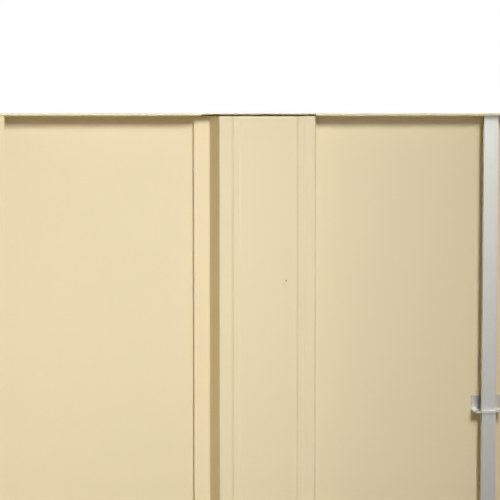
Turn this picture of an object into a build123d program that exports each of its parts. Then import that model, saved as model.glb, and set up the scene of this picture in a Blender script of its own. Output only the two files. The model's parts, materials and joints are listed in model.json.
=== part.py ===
from build123d import *
import math
import os

# Two-door sheet-steel storage cabinet. Millimetres, +Z up, front towards -Y.
# The origin is on the floor under the middle of the body.

# Body
CABINET_WIDTH = 914.4
CABINET_DEPTH = 457.2
CABINET_HEIGHT = 1828.8
SHEET = 0.9
BEND_RADIUS = 1.2
WELD_GAP = 0.1
JAMB_FACE = 22.0
JAMB_RETURN = 28.0
REAR_FLANGE = 15.0
HEADER_HEIGHT = 40.0
STOP_DEPTH = 27.0
STOP_DROP = 12.0
BASE_HEIGHT = 70.0
BASE_RETURN = 15.0
PAN_FLANGE = 18.0

# Feet
FOOT_CLEARANCE = 8.0
FOOT_INSET = 62.0
FOOT_RADIUS = 13.0
FOOT_THICKNESS = 7.0
STUD_RADIUS = 5.0
STUD_LENGTH = 38.0
STUD_CLEARANCE = 0.08
GUSSET_SHEET = 2.5
GUSSET_RISE = 6.0
GUSSET_LENGTH = 80.0
CHANNEL_WIDTH = 50.0
WELD_NUT_RADIUS = 9.0
WELD_NUT_HEIGHT = 8.0

# Shelf posts, clips and shelves
POST_WIDTH = 28.0
POST_DEPTH = 11.0
POST_FRONT_SETBACK = 62.0
POST_REAR_SETBACK = 40.0
SLOT_PITCH = 76.2
SLOT_START = 135.0
SLOT_TOP_MARGIN = 90.0
SLOT_WIDTH = 15.0
SLOT_CLEARANCE = 0.5
CLIP_SHEET = 1.5
CLIP_WIDTH = 14.0
CLIP_DROP = 12.0
CLIP_LEDGE = 15.0
CLIP_HOOK_RISE = 5.0
CLIP_HOOK_REACH = 4.0
CLIP_GAP = 0.1
SHELF_SLOTS = (4, 8, 12, 16)
SHELF_HEIGHT = 25.0
SHELF_RETURN = 14.0
SHELF_END_GAP = 0.7
SHELF_FRONT_SETBACK = 42.0
SHELF_REAR_GAP = 4.0

# Doors
DOOR_REST_ANGLE = 120.0
DOOR_DEPTH = 19.0
DOOR_RETURN = 12.0
DOOR_EDGE_GAP = 2.5
DOOR_MIDDLE_GAP = 3.0
CORNER_RELIEF = 0.3
HEM_GAP = 0.3
HEM_LENGTH = 6.0
HEM_NOTCH_DEPTH = 2.4
HEM_NOTCH_MARGIN = 0.8

# Hat-section door stiffener
CROWN_WIDTH = 76.2
WEB_SLANT = 4.7
HAT_FLANGE = 12.8
HAT_FLANGE_RISE = 4.0
HAT_END_GAP = 0.1
BEAD_INSET = 12.3
BEAD_WIDTH = 6.0
BEAD_HEIGHT = 0.9

# Hinges
HINGE_GAP = 3.2
HINGE_LENGTH = 101.6
HINGE_END_DISTANCE = 150.0
LEAF_SHEET = 1.2
LEAF_DEPTH = 16.0
KNUCKLE_COUNT = 3
KNUCKLE_SIDES = 12
KNUCKLE_GAP = 0.5
KNUCKLE_CLEARANCE = 0.3
PIN_RADIUS = 2.0
PIN_CLEARANCE = 0.05

# Strike on the left door and rubber pads on the door stop
STRIKE_SHEET = 1.2
STRIKE_OVERLAP = 12.0
STRIKE_CLEARANCE = 1.0
BUMPER_WIDTH = 20.0
BUMPER_HEIGHT = 9.0
BUMPER_GAP = 0.3
BUMPER_INSET = 60.0

# Lock
LOCK_HEIGHT = 1000.0
LOCK_INSET = 42.0
SPINDLE_RADIUS = 4.5
SPINDLE_CLEARANCE = 0.05
ESCUTCHEON_WIDTH = 42.0
ESCUTCHEON_HEIGHT = 118.0
ESCUTCHEON_THICKNESS = 3.0
ESCUTCHEON_CHAMFER = 1.0
HANDLE_STANDOFF = 20.0
HANDLE_LENGTH = 98.0
HANDLE_THICKNESS = 13.0
HANDLE_HUB_RADIUS = 15.0
HANDLE_NECK_RADIUS = 12.5
HANDLE_TIP_RADIUS = 8.0
HANDLE_GAP = 0.2
HANDLE_EDGE = 2.5
PLUG_RADIUS = 6.0
PLUG_LENGTH = 12.0
PLUG_CLEARANCE = 0.08
PLUG_PROUD = 0.6
KEYWAY_WIDTH = 1.6
KEYWAY_HEIGHT = 7.0
ROD_WIDTH = 12.0
ROD_THICKNESS = 3.0
ROD_DEPTH = 8.0
ROD_END = 7.0
ROD_CLEARANCE = 0.4
CAM_RADIUS = 14.0
CAM_SWING = 90.0
CAM_THICKNESS = 3.0
CAM_GAP = 0.8
CAM_PIN_RADIUS = 2.0
CAM_PIN_CLEARANCE = 0.55
CAM_RIM = 4.0
BRACKET_SHEET = 1.2
BRACKET_WIDTH = 48.0
BRACKET_HEIGHT = 26.0
BRACKET_FOOT = 9.0
BRACKET_GAP = 0.8
TONGUE_THICKNESS = 3.0
TONGUE_WIDTH = 17.0
TONGUE_CHAMFER = 4.0
TONGUE_HOLD = 8.0
TONGUE_GAP = 1.0
SPINDLE_HEAD_RADIUS = 8.0
SPINDLE_HEAD = 4.0
GUIDE_SHEET = 1.5
GUIDE_WIDTH = 24.0
GUIDE_FOOT = 12.0
GUIDE_RIM = 3.5
GUIDE_END_DISTANCE = 240.0
GUIDE_CAM_DISTANCE = 90.0

# Planes that several pieces share
FRONT = -CABINET_DEPTH / 2
BACK = CABINET_DEPTH / 2
SIDE = CABINET_WIDTH / 2
WALL = SIDE - SHEET
PAN_EDGE = WALL - WELD_GAP
OPENING = SIDE - JAMB_FACE
BEND = BEND_RADIUS + SHEET
BACK_INSIDE = BACK - 2 * SHEET - WELD_GAP
PAN_BACK = BACK_INSIDE - WELD_GAP
HEADER_BOTTOM = CABINET_HEIGHT - HEADER_HEIGHT
POST_WEB = WALL - POST_DEPTH

DOOR_HINGE_EDGE = OPENING - HINGE_GAP
DOOR_FREE_EDGE = DOOR_MIDDLE_GAP / 2
DOOR_MIDDLE = (DOOR_HINGE_EDGE + DOOR_FREE_EDGE) / 2
DOOR_BOTTOM = BASE_HEIGHT + DOOR_EDGE_GAP
DOOR_TOP = HEADER_BOTTOM - DOOR_EDGE_GAP
DOOR_INSIDE = FRONT + DOOR_DEPTH
HEM_STACK = 2 * SHEET + HEM_GAP
DOOR_RELIEF = max(BEND, HEM_STACK) + CORNER_RELIEF
HAT_HALF_WIDTH = CROWN_WIDTH / 2 + WEB_SLANT + HAT_FLANGE

KNUCKLE_RADIUS = PIN_RADIUS + PIN_CLEARANCE + LEAF_SHEET
KNUCKLE_PITCH = HINGE_LENGTH / KNUCKLE_COUNT
HINGE_X = OPENING - HINGE_GAP / 2
HINGE_Y = FRONT - KNUCKLE_RADIUS - KNUCKLE_CLEARANCE
HINGE_HEIGHTS = (
    DOOR_BOTTOM + HINGE_END_DISTANCE,
    (DOOR_BOTTOM + DOOR_TOP) / 2,
    DOOR_TOP - HINGE_END_DISTANCE,
)

STRIKE_INSIDE = DOOR_INSIDE + STRIKE_CLEARANCE + STRIKE_SHEET

LOCK_X = DOOR_FREE_EDGE + LOCK_INSET
ROD_OFFSET = CAM_RADIUS * (1 + math.cos(math.radians(CAM_SWING / 2))) / 2
ROD_FRONT = FRONT + ROD_DEPTH
ROD_BACK = ROD_FRONT + ROD_THICKNESS
CAM_FRONT = ROD_BACK + CAM_GAP
CAM_BACK = CAM_FRONT + CAM_THICKNESS
BRACKET_FRONT = CAM_BACK + BRACKET_GAP
TONGUE_FRONT = max(STRIKE_INSIDE, BRACKET_FRONT + BRACKET_SHEET) + TONGUE_GAP
TONGUE_BACK = TONGUE_FRONT + TONGUE_THICKNESS
SPINDLE_END = TONGUE_BACK + SPINDLE_HEAD
HANDLE_BACK = FRONT - HANDLE_STANDOFF
HANDLE_FACE = HANDLE_BACK - HANDLE_THICKNESS
PLUG_BOTTOM = HANDLE_FACE + PLUG_LENGTH
SPINDLE_START = PLUG_BOTTOM + PLUG_CLEARANCE + SPINDLE_RADIUS

RIGHT, LEFT = 1, -1
CREASE = 0
HEX_SIDES = 6


def folded(points, thickness=SHEET, radius=None):
    """Section of a folded sheet whose middle line runs through the points."""
    bend = BEND_RADIUS + thickness / 2 if radius is None else radius
    return trace(FilletPolyline(*points, radius=bend), thickness)


def creased(points, thickness=SHEET):
    """Section of a sheet folded with sharp creases."""
    return trace(Polyline(*points), thickness)


def along_x(section, low, high):
    """Section drawn in Y and Z, drawn out from low to high in X."""
    return extrude(Plane.YZ.offset(low) * section, high - low)


def along_y(section, low, high):
    """Section drawn in X and Z, drawn out from low to high in Y."""
    return extrude(Plane.XZ.offset(-high) * section, high - low)


def along_z(section, low, high):
    """Section drawn in X and Y, drawn out from low to high in Z."""
    return extrude(Plane.XY.offset(low) * section, high - low)


def block(x, y, z):
    """Box between a low and a high limit on each axis."""
    middle = [(low + high) / 2 for low, high in (x, y, z)]
    return Pos(*middle) * Box(*[high - low for low, high in (x, y, z)])


def round_bar(x, z, radius, low, high):
    """Round bar along Y."""
    return along_y(Pos(x, z) * Circle(radius), low, high)


def mirrored(shape):
    """The same piece on the left-hand side."""
    return mirror(shape, about=Plane.YZ)


def swung(shape):
    """A right-hand door piece, turned from closed to its open rest position."""
    return shape.rotate(Axis((HINGE_X, HINGE_Y, 0), (0, 0, 1)), DOOR_REST_ANGLE)


# Body


def side_panel():
    """Right side: rear flange, outer wall, front jamb and jamb return from one sheet."""
    half = SHEET / 2
    bend = BEND_RADIUS + half
    plan = folded(
        [
            (SIDE - REAR_FLANGE, BACK - half),
            (SIDE - half, BACK - half),
            (SIDE - half, FRONT + half),
            (OPENING + half, FRONT + half),
            (OPENING + half, FRONT + JAMB_RETURN),
        ],
        SHEET,
        [CREASE, bend, bend],
    )
    under_top = CABINET_HEIGHT - SHEET - WELD_GAP
    wall_end = Pos((WALL + SIDE) / 2, 0) * Rectangle(SHEET, CABINET_DEPTH - 2 * BEND)
    return along_z(plan, FOOT_CLEARANCE, under_top) + along_z(wall_end, under_top, CABINET_HEIGHT)


def back_panel():
    """Flat back sheet, welded inside the rear flanges of the sides."""
    edge = WALL - BEND_RADIUS - WELD_GAP
    return block(
        (-edge, edge),
        (BACK_INSIDE, BACK_INSIDE + SHEET),
        (FOOT_CLEARANCE, CABINET_HEIGHT - SHEET - WELD_GAP),
    )


def pan_across(top, front):
    """Sheet from side to side with down-turned edges, its top face at the given height."""
    half = SHEET / 2
    edge = PAN_EDGE - half
    section = creased(
        [(-edge, top - PAN_FLANGE), (-edge, top - half), (edge, top - half), (edge, top - PAN_FLANGE)]
    )
    return along_y(section, front, PAN_BACK - BEND)


def rod_slot(offset, z):
    """Cutter for a lock rod's way through a horizontal sheet near the given height."""
    middle = (ROD_FRONT + ROD_BACK) / 2
    cutter = Box(
        ROD_WIDTH + 2 * ROD_CLEARANCE,
        ROD_THICKNESS + 2 * ROD_CLEARANCE,
        2 * HEM_STACK + 2 * BEND,
    )
    return Pos(LOCK_X + offset, middle, z) * cutter


def top_panel():
    """Top sheet with its header, the door-stop lip behind it and a slot for the upper rod."""
    half = SHEET / 2
    roof = CABINET_HEIGHT - half
    ledge = HEADER_BOTTOM + half
    stop = FRONT + STOP_DEPTH - half
    bend = BEND_RADIUS + half
    section = folded(
        [
            (PAN_BACK - half, CABINET_HEIGHT - PAN_FLANGE),
            (PAN_BACK - half, roof),
            (FRONT + half, roof),
            (FRONT + half, ledge),
            (stop, ledge),
            (stop, HEADER_BOTTOM - STOP_DROP),
        ],
        SHEET,
        [CREASE, bend, bend, CREASE],
    )
    panel = pan_across(CABINET_HEIGHT, FRONT + BEND)
    panel += along_x(section, WELD_GAP - OPENING, OPENING - WELD_GAP)
    for side in (RIGHT, LEFT):
        ends = sorted((side * (OPENING - WELD_GAP), side * PAN_EDGE))
        panel += block(ends, (FRONT, FRONT + BEND), (CABINET_HEIGHT - SHEET, CABINET_HEIGHT))
    return panel - rod_slot(-ROD_OFFSET, HEADER_BOTTOM)


def base_pan():
    """Bottom shelf, kick face and floor return, with a slot for the lower rod."""
    half = SHEET / 2
    floor = BASE_HEIGHT - half
    bend = BEND_RADIUS + half
    section = folded(
        [
            (FRONT + BASE_RETURN, FOOT_CLEARANCE + half),
            (FRONT + half, FOOT_CLEARANCE + half),
            (FRONT + half, floor),
            (PAN_BACK - half, floor),
            (PAN_BACK - half, BASE_HEIGHT - PAN_FLANGE),
        ],
        SHEET,
        [CREASE, bend, CREASE],
    )
    pan = along_x(section, WELD_GAP - OPENING, OPENING - WELD_GAP)
    pan += pan_across(BASE_HEIGHT, FRONT + JAMB_RETURN + WELD_GAP)
    return pan - rod_slot(ROD_OFFSET, BASE_HEIGHT)


def slot_heights():
    """Heights of the clip slots up a post."""
    count = int((HEADER_BOTTOM - SLOT_TOP_MARGIN - SLOT_START) // SLOT_PITCH) + 1
    return [SLOT_START + SLOT_PITCH * index for index in range(count)]


def shelf_post(y):
    """Right-hand slotted channel, welded to the side wall with its web inwards."""
    half = SHEET / 2
    low, high = y - POST_WIDTH / 2 + half, y + POST_WIDTH / 2 - half
    web = POST_WEB + half
    post = along_z(
        creased([(WALL, low), (web, low), (web, high), (WALL, high)]),
        BASE_HEIGHT,
        HEADER_BOTTOM,
    )
    height = CLIP_SHEET + 2 * SLOT_CLEARANCE
    for z in slot_heights():
        post -= Pos(POST_WEB, y, z) * Box(4 * SHEET, SLOT_WIDTH, height)
    return post


POST_PLACES = {
    "front": FRONT + POST_FRONT_SETBACK,
    "rear": BACK_INSIDE - POST_REAR_SETBACK,
}


def shelf_seats():
    """Height of each shelf's underside, on the ledges of its clips."""
    heights = slot_heights()
    return [heights[index] - CLIP_DROP + CLIP_SHEET / 2 for index in SHELF_SLOTS]


def shelf_clip(y, z):
    """Right-hand clip: a hook behind the web, a tongue in the slot and a ledge inside."""
    back = POST_WEB - CLIP_GAP - CLIP_SHEET / 2
    hook = POST_WEB + CLIP_HOOK_REACH
    section = creased(
        [
            (hook, z + CLIP_HOOK_RISE),
            (hook, z),
            (back, z),
            (back, z - CLIP_DROP),
            (POST_WEB - CLIP_LEDGE, z - CLIP_DROP),
        ],
        CLIP_SHEET,
    )
    return along_y(section, y - CLIP_WIDTH / 2, y + CLIP_WIDTH / 2)


def shelf_clips():
    """A clip in each post under each shelf."""
    heights = slot_heights()
    right = [shelf_clip(y, heights[index]) for index in SHELF_SLOTS for y in POST_PLACES.values()]
    return right + [mirrored(clip) for clip in right]


def shelf(bottom):
    """Adjustable shelf: a pan with its four edges turned down and in."""
    half = SHEET / 2
    top = bottom + SHELF_HEIGHT - half
    low = bottom + half
    end = POST_WEB - CLIP_GAP - CLIP_SHEET - SHELF_END_GAP - half
    front, rear = FRONT + SHELF_FRONT_SETBACK + half, BACK_INSIDE - SHELF_REAR_GAP - half
    relief = SHEET + CORNER_RELIEF
    ends = creased(
        [
            (SHELF_RETURN - end, low),
            (-end, low),
            (-end, top),
            (end, top),
            (end, low),
            (end - SHELF_RETURN, low),
        ]
    )
    edges = creased(
        [
            (front + SHELF_RETURN, low + relief),
            (front, low + relief),
            (front, top),
            (rear, top),
            (rear, low + relief),
            (rear - SHELF_RETURN, low + relief),
        ]
    )
    pan = along_y(ends, front + relief, rear - relief)
    return pan + along_x(edges, relief - end, end - relief)


# Feet

CORNERS = {
    "front_left": (FOOT_INSET - SIDE, FRONT + FOOT_INSET),
    "front_right": (SIDE - FOOT_INSET, FRONT + FOOT_INSET),
    "rear_left": (FOOT_INSET - SIDE, BACK - FOOT_INSET),
    "rear_right": (SIDE - FOOT_INSET, BACK - FOOT_INSET),
}
FOOT_PLACES = {**CORNERS, "centre": (0, 0)}
CARRIER_BOTTOM = FOOT_CLEARANCE + GUSSET_RISE
CARRIER_TOP = CARRIER_BOTTOM + GUSSET_SHEET


def with_nut(carrier, x, y):
    """A foot's carrier, with a weld nut on it and a bore for the foot's stud."""
    nut = along_z(RegularPolygon(WELD_NUT_RADIUS, HEX_SIDES), CARRIER_BOTTOM, CARRIER_TOP + WELD_NUT_HEIGHT)
    bore = along_z(Circle(STUD_RADIUS + STUD_CLEARANCE), 0, CARRIER_TOP + 2 * WELD_NUT_HEIGHT)
    return carrier + Pos(x, y) * nut - Pos(x, y) * bore


def foot_gusset(x, y):
    """Corner plate welded to the side wall, the carrier of a corner foot."""
    across = sorted((math.copysign(WALL, x), math.copysign(WALL - GUSSET_LENGTH, x)))
    if y < 0:
        deep = (FRONT + JAMB_RETURN, FRONT + JAMB_RETURN + GUSSET_LENGTH)
    else:
        deep = (BACK_INSIDE - GUSSET_LENGTH, BACK_INSIDE)
    return with_nut(block(across, deep, (CARRIER_BOTTOM, CARRIER_TOP)), x, y)


def base_channel():
    """Channel welded under the middle of the bottom shelf, the carrier of the centre foot."""
    half = GUSSET_SHEET / 2
    leg = CHANNEL_WIDTH / 2 - half
    low, high = CARRIER_BOTTOM + half, BASE_HEIGHT - SHEET - WELD_GAP
    section = creased([(-leg, high), (-leg, low), (leg, low), (leg, high)], GUSSET_SHEET)
    return with_nut(along_y(section, FRONT + BEND, PAN_BACK - BEND), *FOOT_PLACES["centre"])


def foot(x, y):
    """Levelling foot: a hexagon head, standing on the floor, and its stud."""
    head = along_z(RegularPolygon(FOOT_RADIUS, HEX_SIDES), 0, FOOT_THICKNESS)
    stud = along_z(Circle(STUD_RADIUS), FOOT_THICKNESS, FOOT_THICKNESS + STUD_LENGTH)
    return Pos(x, y) * (head + stud)


# Doors, drawn closed on the right-hand side


def door_skin(with_lock):
    """Door pan: side flanges with returns, and top and bottom lips with hems."""
    half = SHEET / 2
    outer, inner = FRONT + half, DOOR_INSIDE - half
    left, right = DOOR_FREE_EDGE + half, DOOR_HINGE_EDGE - half
    bend = BEND_RADIUS + half
    plan = folded(
        [
            (DOOR_HINGE_EDGE - DOOR_RETURN, inner),
            (right, inner),
            (right, outer),
            (left, outer),
            (left, inner),
            (DOOR_FREE_EDGE + DOOR_RETURN, inner),
        ],
        SHEET,
        [CREASE, bend, bend, CREASE],
    )
    fold = HEM_GAP + SHEET
    low, high = DOOR_BOTTOM + half, DOOR_TOP - half
    profile = folded(
        [
            (inner - HEM_LENGTH, low + fold),
            (inner, low + fold),
            (inner, low),
            (outer, low),
            (outer, high),
            (inner, high),
            (inner, high - fold),
            (inner - HEM_LENGTH, high - fold),
        ],
        SHEET,
        [CREASE, CREASE, bend, bend, CREASE, CREASE],
    )
    skin = along_z(plan, DOOR_BOTTOM + DOOR_RELIEF, DOOR_TOP - DOOR_RELIEF)
    skin += along_x(profile, DOOR_FREE_EDGE + DOOR_RELIEF, DOOR_HINGE_EDGE - DOOR_RELIEF)
    notch_half = HAT_HALF_WIDTH + HEM_NOTCH_MARGIN
    notch = (DOOR_MIDDLE - notch_half, DOOR_MIDDLE + notch_half)
    edge = (DOOR_INSIDE - HEM_NOTCH_DEPTH, DOOR_INSIDE + SHEET)
    under = (DOOR_INSIDE - HEM_LENGTH - 2 * fold, DOOR_INSIDE)
    skin -= block(notch, edge, (DOOR_TOP - HEM_STACK - HEM_GAP, DOOR_TOP + HEM_GAP))
    skin -= block(notch, under, (DOOR_TOP - HEM_STACK - HEM_GAP, DOOR_TOP - SHEET))
    skin -= block(notch, edge, (DOOR_BOTTOM - HEM_GAP, DOOR_BOTTOM + HEM_STACK + HEM_GAP))
    skin -= block(notch, under, (DOOR_BOTTOM + SHEET, DOOR_BOTTOM + HEM_STACK + HEM_GAP))
    if with_lock:
        skin -= rod_slot(-ROD_OFFSET, DOOR_TOP)
        skin -= rod_slot(ROD_OFFSET, DOOR_BOTTOM)
        hole = SPINDLE_RADIUS + ROD_CLEARANCE
        skin -= round_bar(LOCK_X, LOCK_HEIGHT, hole, FRONT - SHEET, FRONT + 2 * SHEET)
    return skin


def bead(middle, crown):
    """Points of a bead raised on the crown, before they are rounded."""
    half = BEAD_WIDTH / 2
    return [(middle - half, crown), (middle, crown + BEAD_HEIGHT), (middle + half, crown)]


def door_stiffener():
    """Hat section with two beads along its crown, its hinge-side flange raised on a leg."""
    half = SHEET / 2
    skin = FRONT + SHEET
    crown = DOOR_INSIDE - half - BEAD_HEIGHT
    top = CROWN_WIDTH / 2
    bead_middle = top - BEAD_INSET
    web_foot = top + WEB_SLANT
    leg = HAT_HALF_WIDTH - half
    raised = skin + HAT_FLANGE_RISE - half
    points = [
        (-HAT_HALF_WIDTH, skin + half),
        (-web_foot, skin + half),
        (-top, crown),
        *bead(-bead_middle, crown),
        *bead(bead_middle, crown),
        (top, crown),
        (web_foot, raised),
        (leg, raised),
        (leg, skin),
    ]
    bend = BEND_RADIUS + half
    bead_radii = [CREASE, BEAD_WIDTH / 4, CREASE]
    radii = [bend, bend, *bead_radii, *bead_radii, bend, bend, CREASE]
    section = Pos(DOOR_MIDDLE, 0) * folded(points, SHEET, radii)
    end = SHEET + BEND_RADIUS + HAT_END_GAP
    return along_z(section, DOOR_BOTTOM + end, DOOR_TOP - end)


def hinge_leaf(z, side, own_rows):
    """Hinge leaf on the jamb's side or the door's, with solid knuckles in its own rows."""
    inner = HINGE_GAP / 2 - LEAF_SHEET
    across = sorted((side * inner, side * HINGE_GAP / 2))
    reach = FRONT - HINGE_Y + LEAF_DEPTH
    leaf = block(across, (0, reach), (-HINGE_LENGTH / 2, HINGE_LENGTH / 2))
    room = 2 * (KNUCKLE_RADIUS + KNUCKLE_CLEARANCE)
    half = (KNUCKLE_PITCH - KNUCKLE_GAP) / 2
    for row in range(KNUCKLE_COUNT):
        middle = Pos(0, 0, row * KNUCKLE_PITCH + (KNUCKLE_PITCH - HINGE_LENGTH) / 2)
        if row in own_rows:
            leaf += middle * along_z(RegularPolygon(KNUCKLE_RADIUS, KNUCKLE_SIDES), -half, half)
        else:
            leaf -= middle * Box(room, room, KNUCKLE_PITCH + KNUCKLE_GAP)
    return Pos(HINGE_X, HINGE_Y, z) * leaf


def frame_leaf(z):
    """Leaf welded to the right jamb, with the pin staked into its end knuckles."""
    reach = (HINGE_LENGTH - KNUCKLE_PITCH) / 2
    pin = along_z(RegularPolygon(PIN_RADIUS, KNUCKLE_SIDES), -reach, reach)
    return hinge_leaf(z, RIGHT, range(0, KNUCKLE_COUNT, 2)) + Pos(HINGE_X, HINGE_Y, z) * pin


def door_leaf(z):
    """Leaf welded to the right door's hinge flange, bored to turn on the pin."""
    bore = Cylinder(PIN_RADIUS + PIN_CLEARANCE, 2 * HINGE_LENGTH)
    return hinge_leaf(z, LEFT, range(1, KNUCKLE_COUNT, 2)) - Pos(HINGE_X, HINGE_Y, z) * bore


def door_strike():
    """Strip on the left door's free edge, drawn mirrored, that lies behind the right door."""
    half = STRIKE_SHEET / 2
    seat = DOOR_INSIDE + half
    behind = seat + STRIKE_CLEARANCE
    step = DOOR_MIDDLE_GAP / 2
    section = folded(
        [
            (DOOR_FREE_EDGE + DOOR_RETURN, seat),
            (DOOR_FREE_EDGE, seat),
            (DOOR_FREE_EDGE - step, behind),
            (-DOOR_FREE_EDGE - STRIKE_OVERLAP, behind),
        ],
        STRIKE_SHEET,
        STRIKE_SHEET,
    )
    return along_z(section, DOOR_BOTTOM + STOP_DROP, DOOR_TOP - 2 * STOP_DROP)


def door_bumper(x):
    """Rubber pad on the stop lip, in front of which the door comes to rest."""
    z = HEADER_BOTTOM - STOP_DROP / 2
    return block(
        (x - BUMPER_WIDTH / 2, x + BUMPER_WIDTH / 2),
        (DOOR_INSIDE + BUMPER_GAP, FRONT + STOP_DEPTH - SHEET),
        (z - BUMPER_HEIGHT / 2, z + BUMPER_HEIGHT / 2),
    )


def door_bumpers():
    """Two pads for each door."""
    right = [door_bumper(DOOR_FREE_EDGE + BUMPER_INSET), door_bumper(DOOR_HINGE_EDGE - BUMPER_INSET)]
    return right + [mirrored(bumper) for bumper in right]


# Lock on the right door, drawn with the door closed and the handle at rest, unlatched


def escutcheon():
    """Backing plate of the handle, and the spindle's outer bearing."""
    plate = Rectangle(ESCUTCHEON_WIDTH, ESCUTCHEON_HEIGHT)
    plate -= Circle(SPINDLE_RADIUS + SPINDLE_CLEARANCE)
    solid = along_y(Pos(LOCK_X, LOCK_HEIGHT) * plate, FRONT - ESCUTCHEON_THICKNESS, FRONT)
    rim = solid.faces().sort_by(Axis.Y)[0].outer_wire().edges()
    return chamfer(rim, ESCUTCHEON_CHAMFER)


def door_handle():
    """Lever handle with a hub, hollow for the key plug in front and the spindle behind."""
    hub = Circle(HANDLE_HUB_RADIUS)
    tip = Pos(HANDLE_LENGTH, 0) * Circle(HANDLE_TIP_RADIUS)
    lever = make_hull(hub.edges() + tip.edges())
    lever = along_y(Pos(LOCK_X, LOCK_HEIGHT) * lever, HANDLE_FACE, HANDLE_BACK)
    lever = chamfer(lever.faces().sort_by(Axis.Y)[0].edges(), HANDLE_EDGE)
    neck_end = FRONT - ESCUTCHEON_THICKNESS - HANDLE_GAP
    neck = round_bar(LOCK_X, LOCK_HEIGHT, HANDLE_NECK_RADIUS, HANDLE_BACK - HANDLE_EDGE, neck_end)
    plug_bore = PLUG_RADIUS + PLUG_CLEARANCE
    spindle_bore = SPINDLE_RADIUS + SPINDLE_CLEARANCE
    handle = lever + neck
    handle -= round_bar(LOCK_X, LOCK_HEIGHT, plug_bore, HANDLE_FACE - SHEET, PLUG_BOTTOM + PLUG_CLEARANCE)
    return handle - round_bar(LOCK_X, LOCK_HEIGHT, spindle_bore, SPINDLE_START, neck_end + SHEET)


def lock_plug():
    """Key plug in the handle's hub, with an upright keyway."""
    plug = round_bar(LOCK_X, LOCK_HEIGHT, PLUG_RADIUS, HANDLE_FACE - PLUG_PROUD, PLUG_BOTTOM)
    keyway = Pos(LOCK_X, HANDLE_FACE, LOCK_HEIGHT) * Box(KEYWAY_WIDTH, PLUG_LENGTH, KEYWAY_HEIGHT)
    return plug - keyway


def lock_spindle():
    """Shaft from the handle's hub through the door, with a hexagon head behind the latch tongue."""
    head = Pos(LOCK_X, LOCK_HEIGHT) * RegularPolygon(SPINDLE_HEAD_RADIUS, HEX_SIDES)
    shaft = round_bar(LOCK_X, LOCK_HEIGHT, SPINDLE_RADIUS, SPINDLE_START, SPINDLE_END)
    return shaft + along_y(head, TONGUE_BACK, SPINDLE_END)


def turned_plate(section, angle, low, high):
    """Plate on the spindle, turned about it, with the spindle's hole through it."""
    plate = Pos(LOCK_X, LOCK_HEIGHT) * Rot(0, 0, angle) * section
    hole = Pos(LOCK_X, LOCK_HEIGHT) * Circle(SPINDLE_RADIUS + SPINDLE_CLEARANCE)
    return along_y(plate - hole, low, high)


def lock_cam():
    """Double-ended cam whose two pins drive the lock rods."""
    bar = Rectangle(2 * (CAM_RADIUS + CAM_PIN_RADIUS + CAM_RIM), 2 * (SPINDLE_RADIUS + CAM_RIM))
    bar = chamfer(bar.vertices(), CAM_RIM)
    cam = turned_plate(bar, CAM_SWING / 2, CAM_FRONT, CAM_BACK)
    reach = CAM_RADIUS * math.cos(math.radians(CAM_SWING / 2))
    rise = CAM_RADIUS * math.sin(math.radians(CAM_SWING / 2))
    for end in (RIGHT, LEFT):
        x, z = LOCK_X + end * reach, LOCK_HEIGHT + end * rise
        cam += round_bar(x, z, CAM_PIN_RADIUS, ROD_FRONT - SHEET, CAM_FRONT)
    return cam


def latch_tongue():
    """Tongue that swings behind the left door's strike when the handle is latched."""
    reach = LOCK_X + DOOR_FREE_EDGE - DOOR_MIDDLE_GAP - STRIKE_OVERLAP + TONGUE_HOLD
    heel = TONGUE_WIDTH / 2
    tongue = Pos((reach - heel) / 2, 0) * Rectangle(reach + heel, TONGUE_WIDTH)
    tongue = chamfer(tongue.vertices(), TONGUE_CHAMFER)
    return turned_plate(tongue, -CAM_SWING, TONGUE_FRONT, TONGUE_BACK)


def spindle_bracket():
    """Strap over the cam, welded to the door, with the spindle's inner bearing."""
    half = BRACKET_SHEET / 2
    foot_line = FRONT + SHEET + half
    bridge = BRACKET_FRONT + half
    leg = BRACKET_WIDTH / 2
    section = creased(
        [
            (-leg - BRACKET_FOOT, foot_line),
            (-leg, foot_line),
            (-leg, bridge),
            (leg, bridge),
            (leg, foot_line),
            (leg + BRACKET_FOOT, foot_line),
        ],
        BRACKET_SHEET,
    )
    rise = BRACKET_HEIGHT / 2
    strap = along_z(Pos(LOCK_X, 0) * section, LOCK_HEIGHT - rise, LOCK_HEIGHT + rise)
    bearing = SPINDLE_RADIUS + SPINDLE_CLEARANCE
    bearing_end = BRACKET_FRONT + 2 * BRACKET_SHEET
    return strap - round_bar(LOCK_X, LOCK_HEIGHT, bearing, BRACKET_FRONT - SHEET, bearing_end)


def lock_rod(side):
    """Flat rod with a cross slot for its cam pin: upper on the left, lower on the right."""
    up = -side
    pin_z = LOCK_HEIGHT - up * CAM_RADIUS * math.sin(math.radians(CAM_SWING / 2))
    near = pin_z - up * ROD_END
    far = DOOR_TOP if up > 0 else DOOR_BOTTOM
    x = LOCK_X + side * ROD_OFFSET
    half = ROD_WIDTH / 2
    rod = block((x - half, x + half), (ROD_FRONT, ROD_BACK), sorted((near, far)))
    play = CAM_RADIUS * (1 - math.cos(math.radians(CAM_SWING / 2)))
    slot = SlotCenterToCenter(play, 2 * (CAM_PIN_RADIUS + CAM_PIN_CLEARANCE))
    return rod - along_y(Pos(x, pin_z) * slot, ROD_FRONT - SHEET, ROD_BACK + SHEET)


def rod_guide(side, z):
    """Angle bracket on the door skin with a slot that a lock rod runs in."""
    half = GUIDE_SHEET / 2
    skin = FRONT + SHEET
    tall = ROD_BACK + ROD_CLEARANCE + GUIDE_RIM
    section = creased([(skin + half, z + GUIDE_FOOT), (skin + half, z), (tall, z)], GUIDE_SHEET)
    x = LOCK_X + side * ROD_OFFSET
    guide = along_x(section, x - GUIDE_WIDTH / 2, x + GUIDE_WIDTH / 2)
    return guide - Pos(x, (ROD_FRONT + ROD_BACK) / 2, z) * Box(
        ROD_WIDTH + 2 * ROD_CLEARANCE, ROD_THICKNESS + 2 * ROD_CLEARANCE, 4 * GUIDE_SHEET
    )


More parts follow.
